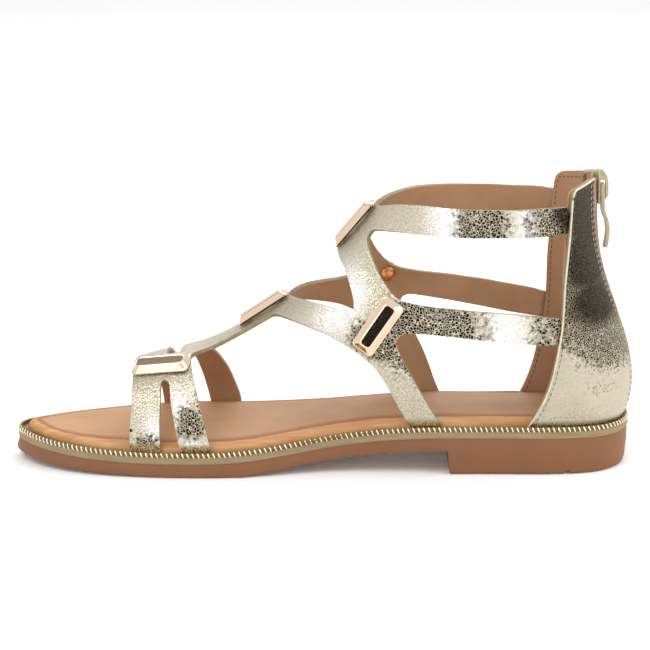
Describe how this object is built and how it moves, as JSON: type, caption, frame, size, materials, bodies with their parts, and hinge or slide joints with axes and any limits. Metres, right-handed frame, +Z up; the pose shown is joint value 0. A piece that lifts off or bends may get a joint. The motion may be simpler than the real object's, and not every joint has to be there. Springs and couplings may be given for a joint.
{
  "type": "gladiator sandal",
  "caption": "Flat gladiator sandal: metallic strap cage with bar ornaments, closed heel counter with a rear zip, padded footbed and low-heeled sole.",
  "frame": {"origin": "middle of the heel's flat bottom, on the floor", "axes": "+X from the toe to the heel's back, +Y to the foot's outer side, +Z up"},
  "size_m": [0.2607, 0.0838, 0.1238],
  "materials": {
    "rubber_sole": "matt moulded rubber",
    "welt_edge": "matt painted board",
    "gold_trim": "ribbed metallised band",
    "footbed": "smooth padded leather, burnished edge",
    "metallic_leather": "foil-coated leather with fine crackle",
    "lining_leather": "matt lining leather",
    "polished_gold": "mirror polished",
    "copper": "polished copper colour",
    "zip_tape": "woven tape",
    "painted_zip": "matt enamel"
  },
  "bodies": {
    "shoe": {"bar_ankle": "polished_gold", "bar_inner_side": "polished_gold", "bar_instep": "polished_gold", "bar_outer_side": "polished_gold", "bar_toe": "polished_gold", "counter_inner": "metallic_leather", "counter_lining_inner": "lining_leather", "counter_lining_outer": "lining_leather", "counter_outer": "metallic_leather", "insole": "footbed", "outsole": "rubber_sole", "rivet_ankle_front": "copper", "rivet_ankle_rear": "copper", "rivet_inner_side_front": "copper", "rivet_inner_side_rear": "copper", "rivet_instep_front": "copper", "rivet_instep_rear": "copper", "rivet_outer_side_front": "copper", "rivet_outer_side_rear": "copper", "rivet_toe_front": "copper", "rivet_toe_rear": "copper", "strap_cage": "metallic_leather", "welt": "welt_edge", "welt_trim": "gold_trim", "zip_coil": "painted_zip", "zip_slider": "painted_zip", "zip_tape_inner": "zip_tape", "zip_tape_outer": "zip_tape"},
    "pull_tab": {"zip_pull": "painted_zip"}
  },
  "joints": [
    {"name": "pull_swing", "type": "hinge", "parent": "shoe", "child": "pull_tab", "pos_m": [0.02477, 0, 0.1175], "axis": [0, -1, 0], "range_deg": [0, 150]}
  ]
}
